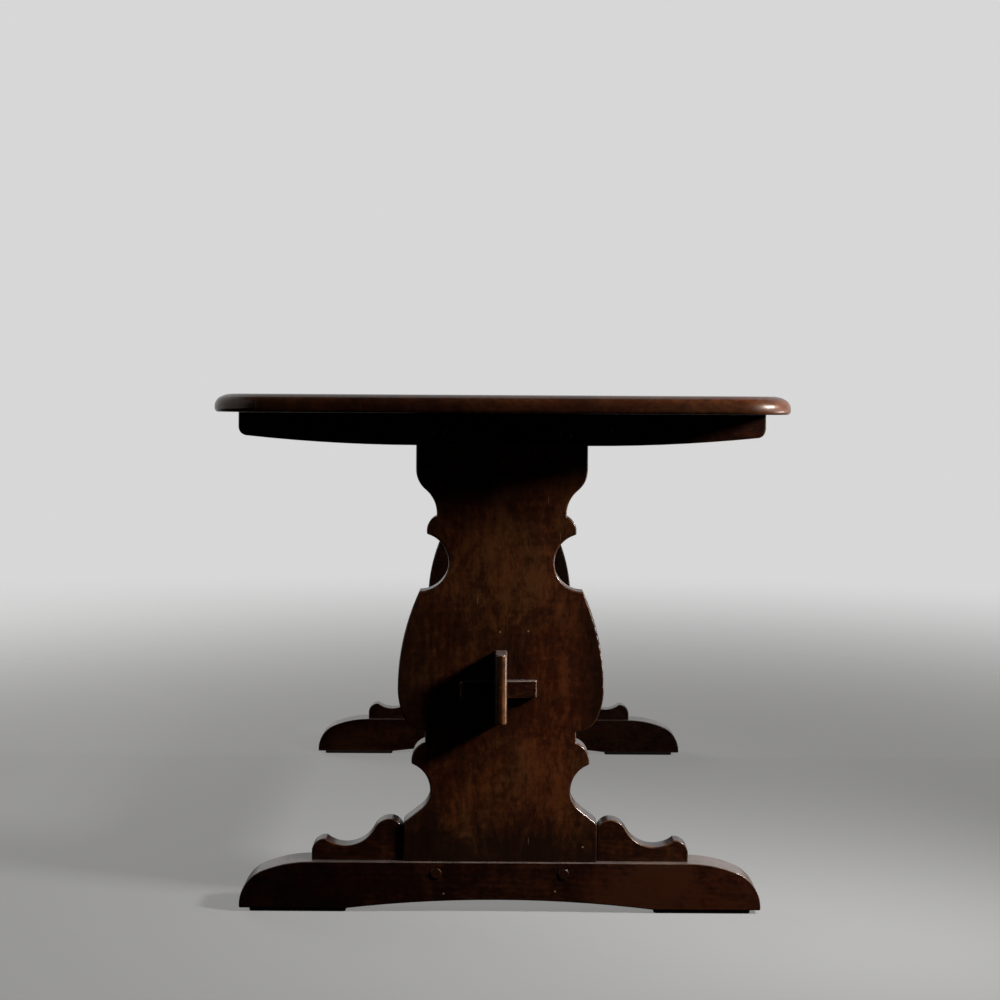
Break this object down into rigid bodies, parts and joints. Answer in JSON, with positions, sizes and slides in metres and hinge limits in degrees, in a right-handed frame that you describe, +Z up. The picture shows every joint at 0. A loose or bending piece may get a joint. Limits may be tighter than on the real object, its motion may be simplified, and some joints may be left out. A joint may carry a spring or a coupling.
{
  "type": "refectory table",
  "caption": "Low refectory table: a rounded boarded top on scrolled vase-shaped trestles, tied by a stretcher with wedged through tenons.",
  "frame": {"origin": "on the floor, under the middle of the table", "axes": "+X across the table to the right as seen from the near end, +Y along the table to the far end, +Z up"},
  "size_m": [0.735, 1.44, 0.69],
  "materials": {
    "top_wood": "dark walnut stain under satin lacquer",
    "panel_wood": "dark walnut stain under satin lacquer",
    "rail_wood": "dark walnut stain under satin lacquer",
    "bracket_wood": "dark walnut stain under satin lacquer",
    "wedge_wood": "dark walnut stain, worn at the ends",
    "peg_wood": "dark walnut stain on end grain",
    "bare_wood": "unfinished",
    "screw_steel": "zinc plated",
    "pad_felt": "dark pressed felt"
  },
  "bodies": {
    "table": {"far_bearer": "rail_wood", "far_bearer_pegs": "peg_wood", "far_bracket_dowels": "bare_wood", "far_foot": "rail_wood", "far_foot_pegs": "peg_wood", "far_left_bracket": "bracket_wood", "far_left_pad": "pad_felt", "far_panel": "panel_wood", "far_right_bracket": "bracket_wood", "far_right_pad": "pad_felt", "far_top_screws": "screw_steel", "near_bearer": "rail_wood", "near_bearer_pegs": "peg_wood", "near_bracket_dowels": "bare_wood", "near_foot": "rail_wood", "near_foot_pegs": "peg_wood", "near_left_bracket": "bracket_wood", "near_left_pad": "pad_felt", "near_panel": "panel_wood", "near_right_bracket": "bracket_wood", "near_right_pad": "pad_felt", "near_top_screws": "screw_steel", "stretcher": "rail_wood", "top_board_1": "top_wood", "top_board_2": "top_wood", "top_board_3": "top_wood", "top_board_4": "top_wood", "top_board_5": "top_wood", "top_board_6": "top_wood", "top_tongues": "bare_wood"},
    "near_key": {"near_wedge": "wedge_wood"},
    "far_key": {"far_wedge": "wedge_wood"}
  },
  "joints": [
    {"name": "near_wedge_slide", "type": "slide", "parent": "table", "child": "near_key", "axis": [-1, 0, 0], "range_m": [0, 0.12]},
    {"name": "far_wedge_slide", "type": "slide", "parent": "table", "child": "far_key", "axis": [1, 0, 0], "range_m": [0, 0.12]}
  ]
}
